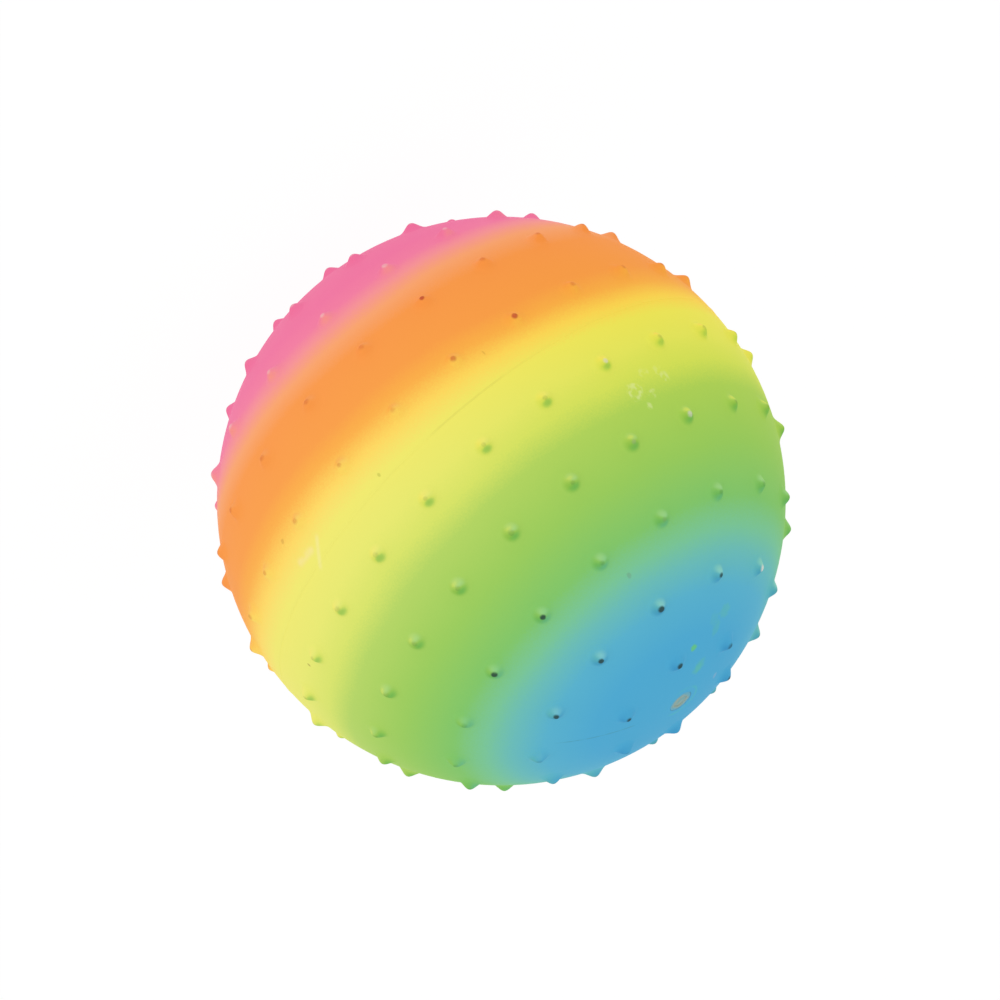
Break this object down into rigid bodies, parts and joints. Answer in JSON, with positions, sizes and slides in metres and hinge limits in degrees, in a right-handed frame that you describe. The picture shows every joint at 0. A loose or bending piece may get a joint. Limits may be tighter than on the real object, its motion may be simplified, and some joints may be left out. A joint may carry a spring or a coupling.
{
  "type": "sensory ball",
  "caption": "Inflatable soft ball covered in blunt nubs in even rows, with a flush rubber inflating valve and a pull-out plug.",
  "frame": {"origin": "the ball's centre", "axes": "+Z out of the valve, square to the moulded parting line; +X and +Y lie in the plane of the parting line, with the pictured side facing -Y"},
  "size_m": [0.1812, 0.1808, 0.1805],
  "materials": {
    "skin": "satin soft vinyl, airbrushed in bands of pink, orange, yellow, green and blue round the valve axis",
    "sleeve": "matte beige rubber",
    "plug": "matte beige plastic"
  },
  "bodies": {
    "ball": {"ball_skin": "skin", "valve_sleeve": "sleeve"},
    "plug": {"valve_plug": "plug"}
  },
  "joints": [
    {"name": "plug_pull", "type": "slide", "parent": "ball", "child": "plug", "axis": [0, 0, 1], "range_m": [0, 0.06]}
  ]
}
